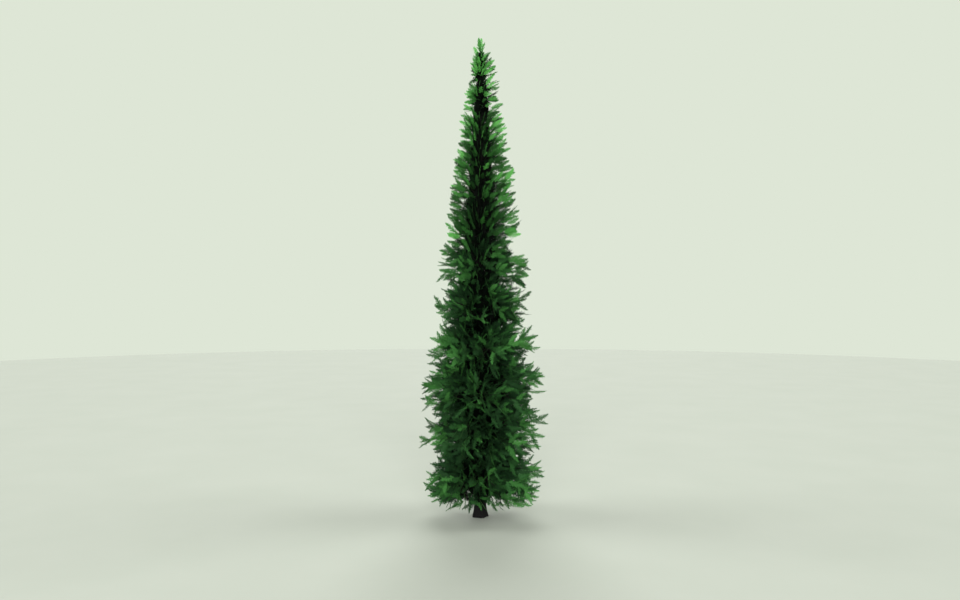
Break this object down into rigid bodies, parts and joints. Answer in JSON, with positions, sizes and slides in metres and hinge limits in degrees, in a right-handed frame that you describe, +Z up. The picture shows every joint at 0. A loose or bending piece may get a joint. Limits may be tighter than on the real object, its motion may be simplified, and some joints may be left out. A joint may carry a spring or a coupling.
{
  "type": "norway spruce tree",
  "caption": "Tall narrow norway spruce with a straight tapering trunk, tiers of boughs and dense masses of needle sprays in a slim pointed crown, rooted at ground level.",
  "frame": {"origin": "centre of the trunk's flat cut at ground level", "axes": "+Z up the trunk to the leader's tip, -Y towards the viewer of the picture"},
  "size_m": [3.2066, 3.2752, 12],
  "materials": {
    "trunk_bark": "rough scaly dark bark",
    "bough_bark": "rough dark bark",
    "needles_low": "matt dark green needles",
    "needles_high": "matt fresh green needles"
  },
  "bodies": {
    "root": {"trunk": "trunk_bark", "bough_1_1": "bough_bark", "bough_1_2": "bough_bark", "bough_1_3": "bough_bark", "bough_1_4": "bough_bark", "bough_1_5": "bough_bark", "bough_2_1": "bough_bark", "bough_2_2": "bough_bark", "bough_2_3": "bough_bark", "bough_2_4": "bough_bark", "bough_2_5": "bough_bark", "foliage_1_1": "needles_low", "foliage_1_2": "needles_low", "foliage_1_3": "needles_low", "foliage_1_4": "needles_low", "foliage_1_5": "needles_low", "foliage_2_1": "needles_low", "foliage_2_2": "needles_low", "foliage_2_3": "needles_low", "foliage_2_4": "needles_low", "foliage_2_5": "needles_low", "foliage_3_1": "needles_low", "foliage_3_2": "needles_low", "foliage_3_3": "needles_low", "foliage_3_4": "needles_low", "foliage_3_5": "needles_low", "foliage_4_1": "needles_low", "foliage_4_2": "needles_low", "foliage_4_3": "needles_low", "foliage_4_4": "needles_low", "foliage_5_1": "needles_low", "foliage_5_2": "needles_low", "foliage_5_3": "needles_low", "foliage_5_4": "needles_low", "foliage_6_1": "needles_low", "foliage_6_2": "needles_low", "foliage_6_3": "needles_low", "foliage_6_4": "needles_low", "foliage_7_1": "needles_high", "foliage_7_2": "needles_high", "foliage_7_3": "needles_high", "foliage_7_4": "needles_high", "foliage_8_1": "needles_high", "foliage_8_2": "needles_high", "foliage_8_3": "needles_high", "foliage_8_4": "needles_high", "foliage_9_1": "needles_high", "foliage_9_2": "needles_high", "foliage_9_3": "needles_high", "foliage_9_4": "needles_high", "foliage_10_1": "needles_high", "foliage_10_2": "needles_high", "foliage_10_3": "needles_high", "foliage_11_1": "needles_high", "foliage_11_2": "needles_high", "foliage_11_3": "needles_high", "foliage_12_1": "needles_high", "foliage_12_2": "needles_high", "foliage_12_3": "needles_high", "foliage_leader": "needles_high"}
  },
  "joints": []
}
